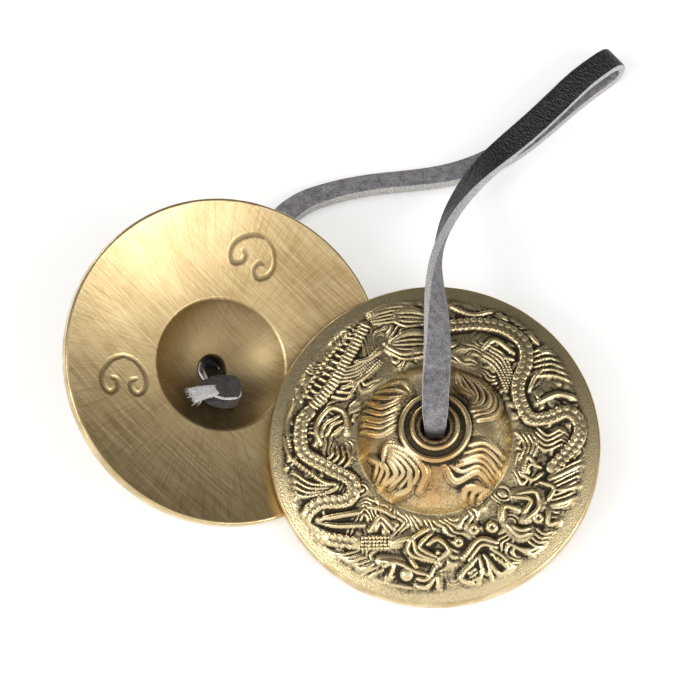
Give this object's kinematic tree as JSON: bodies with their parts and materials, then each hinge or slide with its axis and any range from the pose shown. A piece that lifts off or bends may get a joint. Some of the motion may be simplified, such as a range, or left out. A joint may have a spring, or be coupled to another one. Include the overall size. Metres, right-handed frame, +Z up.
{
  "type": "tingsha cymbals",
  "caption": "Pair of small cast brass hand cymbals with hollow bosses and raised ornament, joined by a flat leather thong knotted through their holes and folded into a finger loop.",
  "frame": {"origin": "on the table under the middle of the two cymbals' bounding box, the thong left out", "axes": "+Z up from the table, +X from the upturned left cymbal to the right cymbal, +Y towards the finger loop"},
  "size_m": [0.1126, 0.1262, 0.03],
  "materials": {
    "cast_brass": "satin inside, antiqued relief outside",
    "leather_thong": "black grain side, grey suede flesh side"
  },
  "bodies": {
    "strap_left": {"left_lead": "leather_thong", "finger_loop": "leather_thong"},
    "strap_right": {"right_lead": "leather_thong"},
    "left_end": {"left_knot": "leather_thong", "left_knot_tail": "leather_thong", "left_neck": "leather_thong"},
    "right_end": {"right_knot": "leather_thong", "right_knot_tail": "leather_thong", "right_neck": "leather_thong"},
    "left_cymbal": {"left_cymbal": "cast_brass"},
    "right_cymbal": {"right_cymbal": "cast_brass"}
  },
  "joints": [
    {"name": "strap_fold", "type": "hinge", "parent": "strap_left", "child": "strap_right", "pos_m": [0.0579, 0.0846, 0.00355], "axis": [-0.6292, 0.7772, 0], "range_deg": [0, 110], "deforming": ["finger_loop"]},
    {"name": "left_rock", "type": "hinge", "parent": "strap_left", "child": "left_end", "pos_m": [-0.02244, 0.02162, 0.00094], "axis": [0.3484, 0.9373, 0.0054], "range_deg": [0, 45]},
    {"name": "right_rock", "type": "hinge", "parent": "strap_right", "child": "right_end", "pos_m": [0.02013, 0.0003, 0.02516], "axis": [0.0616, 0.9974, -0.0369], "range_deg": [0, 45]},
    {"name": "left_spin", "type": "hinge", "parent": "left_end", "child": "left_cymbal", "pos_m": [-0.02074, 0.0074, 0.01624], "axis": [0.2973, -0.3078, 0.9038], "continuous": true},
    {"name": "right_spin", "type": "hinge", "parent": "right_end", "child": "right_cymbal", "pos_m": [0.01996, -0.00673, 0.00646], "axis": [-0.0097, -0.2012, 0.9795], "continuous": true}
  ]
}
